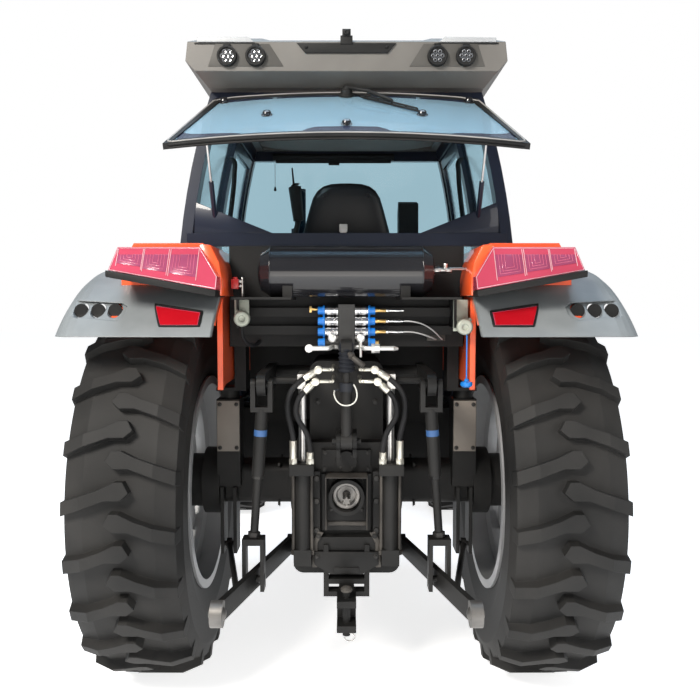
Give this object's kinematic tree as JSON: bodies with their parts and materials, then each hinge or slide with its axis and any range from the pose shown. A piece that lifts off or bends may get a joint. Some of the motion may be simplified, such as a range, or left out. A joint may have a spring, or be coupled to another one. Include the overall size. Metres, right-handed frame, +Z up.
{
  "type": "farm tractor",
  "caption": "Four-wheel-drive farm tractor with a glazed cab, large rear tyres, rear three-point hitch, power take-off and air tank; the rear window stands open.",
  "frame": {"origin": "on the ground under the middle of the tractor's box", "axes": "+Z up, +Y forward to the hood's nose, +X to the tractor's right"},
  "size_m": [2.36, 4.5479, 2.9],
  "materials": {
    "tyre": "matt black rubber",
    "rim": "grey paint",
    "cast_black": "black paint on castings",
    "black_metal": "satin black paint",
    "body_red": "orange red gloss paint",
    "grey_plastic": "dark grey grained plastic",
    "roof_grey": "light grey plastic",
    "black_plastic": "black plastic",
    "rubber": "black rubber",
    "glass": "green tinted glass",
    "lamp": "clear lamp lens",
    "red_lens": "red lamp lens",
    "blue_plastic": "blue dust caps",
    "steel": "bare steel",
    "seat_fabric": "dark seat fabric"
  },
  "bodies": {
    "chassis": {"gearbox_case": "cast_black", "axle_trumpets": "cast_black", "cab_mounts": "rubber", "engine_block": "cast_black", "front_frame": "cast_black", "front_weights": "cast_black", "front_axle": "cast_black", "hood": "body_red", "hood_grille": "black_plastic", "head_lamps": "lamp", "exhaust_stack": "black_metal", "fuel_tank": "black_plastic", "battery_box": "black_plastic", "cab_steps": "black_metal", "cab_floor": "black_metal", "cab_frame": "black_metal", "fixed_glass": "glass", "cab_roof": "roof_grey", "roof_lamps": "lamp", "fenders": "body_red", "fender_skins": "grey_plastic", "rear_lights": "red_lens", "air_tank": "black_metal", "rear_shelf": "black_metal", "remote_valves": "steel", "coupler_caps": "blue_plastic", "hitch_frame": "black_metal", "pto_shaft": "steel", "drawbar": "black_metal", "lift_cylinders": "black_metal", "seat": "seat_fabric", "steering_column": "black_plastic", "steering_wheel": "black_plastic"},
    "rear_wheel_left": {"rear_tyre_left": "tyre", "rear_rim_left": "rim"},
    "rear_wheel_right": {"rear_tyre_right": "tyre", "rear_rim_right": "rim"},
    "front_wheel_left": {"front_tyre_left": "tyre", "front_rim_left": "rim"},
    "front_wheel_right": {"front_tyre_right": "tyre", "front_rim_right": "rim"},
    "knuckle_left": {"knuckle_left": "cast_black"},
    "knuckle_right": {"knuckle_right": "cast_black"},
    "tie_rod": {"tie_rod": "black_metal"},
    "door_left": {"door_left": "black_metal", "door_glass_left": "glass"},
    "door_right": {"door_right": "black_metal", "door_glass_right": "glass"},
    "rear_window": {"rear_window_seal": "rubber", "rear_window_glass": "glass"},
    "strut_barrels": {"strut_barrels": "black_metal"},
    "strut_rods": {"strut_rods": "steel"},
    "lift_arms": {"lift_arms": "black_metal"},
    "lift_rods": {"lift_rods": "black_metal"},
    "lower_links": {"lower_links": "black_metal"},
    "cylinder_rods": {"cylinder_rods": "steel"},
    "top_link": {"top_link": "black_metal"}
  },
  "joints": [
    {"name": "rear_wheel_left_spin", "type": "hinge", "parent": "chassis", "child": "rear_wheel_left", "pos_m": [-0.87, -1.276, 0.875], "axis": [1, 0, 0], "continuous": true},
    {"name": "rear_wheel_right_spin", "type": "hinge", "parent": "chassis", "child": "rear_wheel_right", "pos_m": [0.87, -1.276, 0.875], "axis": [1, 0, 0], "continuous": true},
    {"name": "steer", "type": "hinge", "parent": "chassis", "child": "knuckle_left", "pos_m": [-0.65, 1.374, 0.635], "axis": [0, 0, 1], "range_deg": [-38, 38]},
    {"name": "steer_right", "type": "hinge", "parent": "chassis", "child": "knuckle_right", "pos_m": [0.65, 1.374, 0.635], "axis": [0, 0, 1], "range_deg": [-38, 38]},
    {"name": "front_wheel_left_spin", "type": "hinge", "parent": "knuckle_left", "child": "front_wheel_left", "pos_m": [-0.86, 1.374, 0.635], "axis": [1, 0, 0], "continuous": true},
    {"name": "front_wheel_right_spin", "type": "hinge", "parent": "knuckle_right", "child": "front_wheel_right", "pos_m": [0.86, 1.374, 0.635], "axis": [1, 0, 0], "continuous": true},
    {"name": "tie_rod_pivot", "type": "hinge", "parent": "knuckle_left", "child": "tie_rod", "pos_m": [-0.65, 1.114, 0.72], "axis": [0, 0, 1], "range_deg": [-38, 38]},
    {"name": "door_left_hinge", "type": "hinge", "parent": "chassis", "child": "door_left", "pos_m": [-0.766, -0.002, 1.6], "axis": [0, 0, -1], "range_deg": [0, 70]},
    {"name": "door_right_hinge", "type": "hinge", "parent": "chassis", "child": "door_right", "pos_m": [0.766, -0.002, 1.6], "axis": [0, 0, 1], "range_deg": [0, 70]},
    {"name": "rear_window_hinge", "type": "hinge", "parent": "chassis", "child": "rear_window", "pos_m": [0, -1.481, 2.63], "axis": [1, 0, 0], "range_deg": [0, 52.8]},
    {"name": "strut_swing", "type": "hinge", "parent": "chassis", "child": "strut_barrels", "pos_m": [0, -1.491, 2.072], "axis": [1, 0, 0], "range_deg": [-35.96, 0]},
    {"name": "strut_slide", "type": "slide", "parent": "strut_barrels", "child": "strut_rods", "axis": [0, -0.5245, 0.8514], "range_m": [-0.1791, 0]},
    {"name": "hitch_lift", "type": "hinge", "parent": "chassis", "child": "lift_arms", "pos_m": [0, -1.416, 1.41], "axis": [-1, 0, 0], "range_deg": [-27, 26]},
    {"name": "lower_link_swing", "type": "hinge", "parent": "chassis", "child": "lower_links", "pos_m": [0, -1.416, 0.6], "axis": [-1, 0, 0], "range_deg": [-27, 26]},
    {"name": "lift_rod_swing", "type": "hinge", "parent": "lift_arms", "child": "lift_rods", "pos_m": [0, -1.876, 1.41], "axis": [-1, 0, 0], "range_deg": [-27, 27]},
    {"name": "lift_cylinder_slide", "type": "slide", "parent": "chassis", "child": "cylinder_rods", "axis": [0, 0, 1], "range_m": [-0.136, 0.132]},
    {"name": "top_link_swing", "type": "hinge", "parent": "chassis", "child": "top_link", "pos_m": [0, -1.768, 1.155], "axis": [1, 0, 0], "range_deg": [0, 100]}
  ],
  "couplings": [
    {"joint": "steer_right", "follows": "steer", "ratio": 1},
    {"joint": "tie_rod_pivot", "follows": "steer", "ratio": -1},
    {"joint": "strut_swing", "follows": "rear_window_hinge", "ratio": -0.67159},
    {"joint": "strut_slide", "follows": "rear_window_hinge", "m_per_rad": -0.19329},
    {"joint": "lower_link_swing", "follows": "hitch_lift", "ratio": 1},
    {"joint": "lift_rod_swing", "follows": "hitch_lift", "ratio": -1},
    {"joint": "lift_cylinder_slide", "follows": "hitch_lift", "m_per_rad": 0.28236}
  ]
}
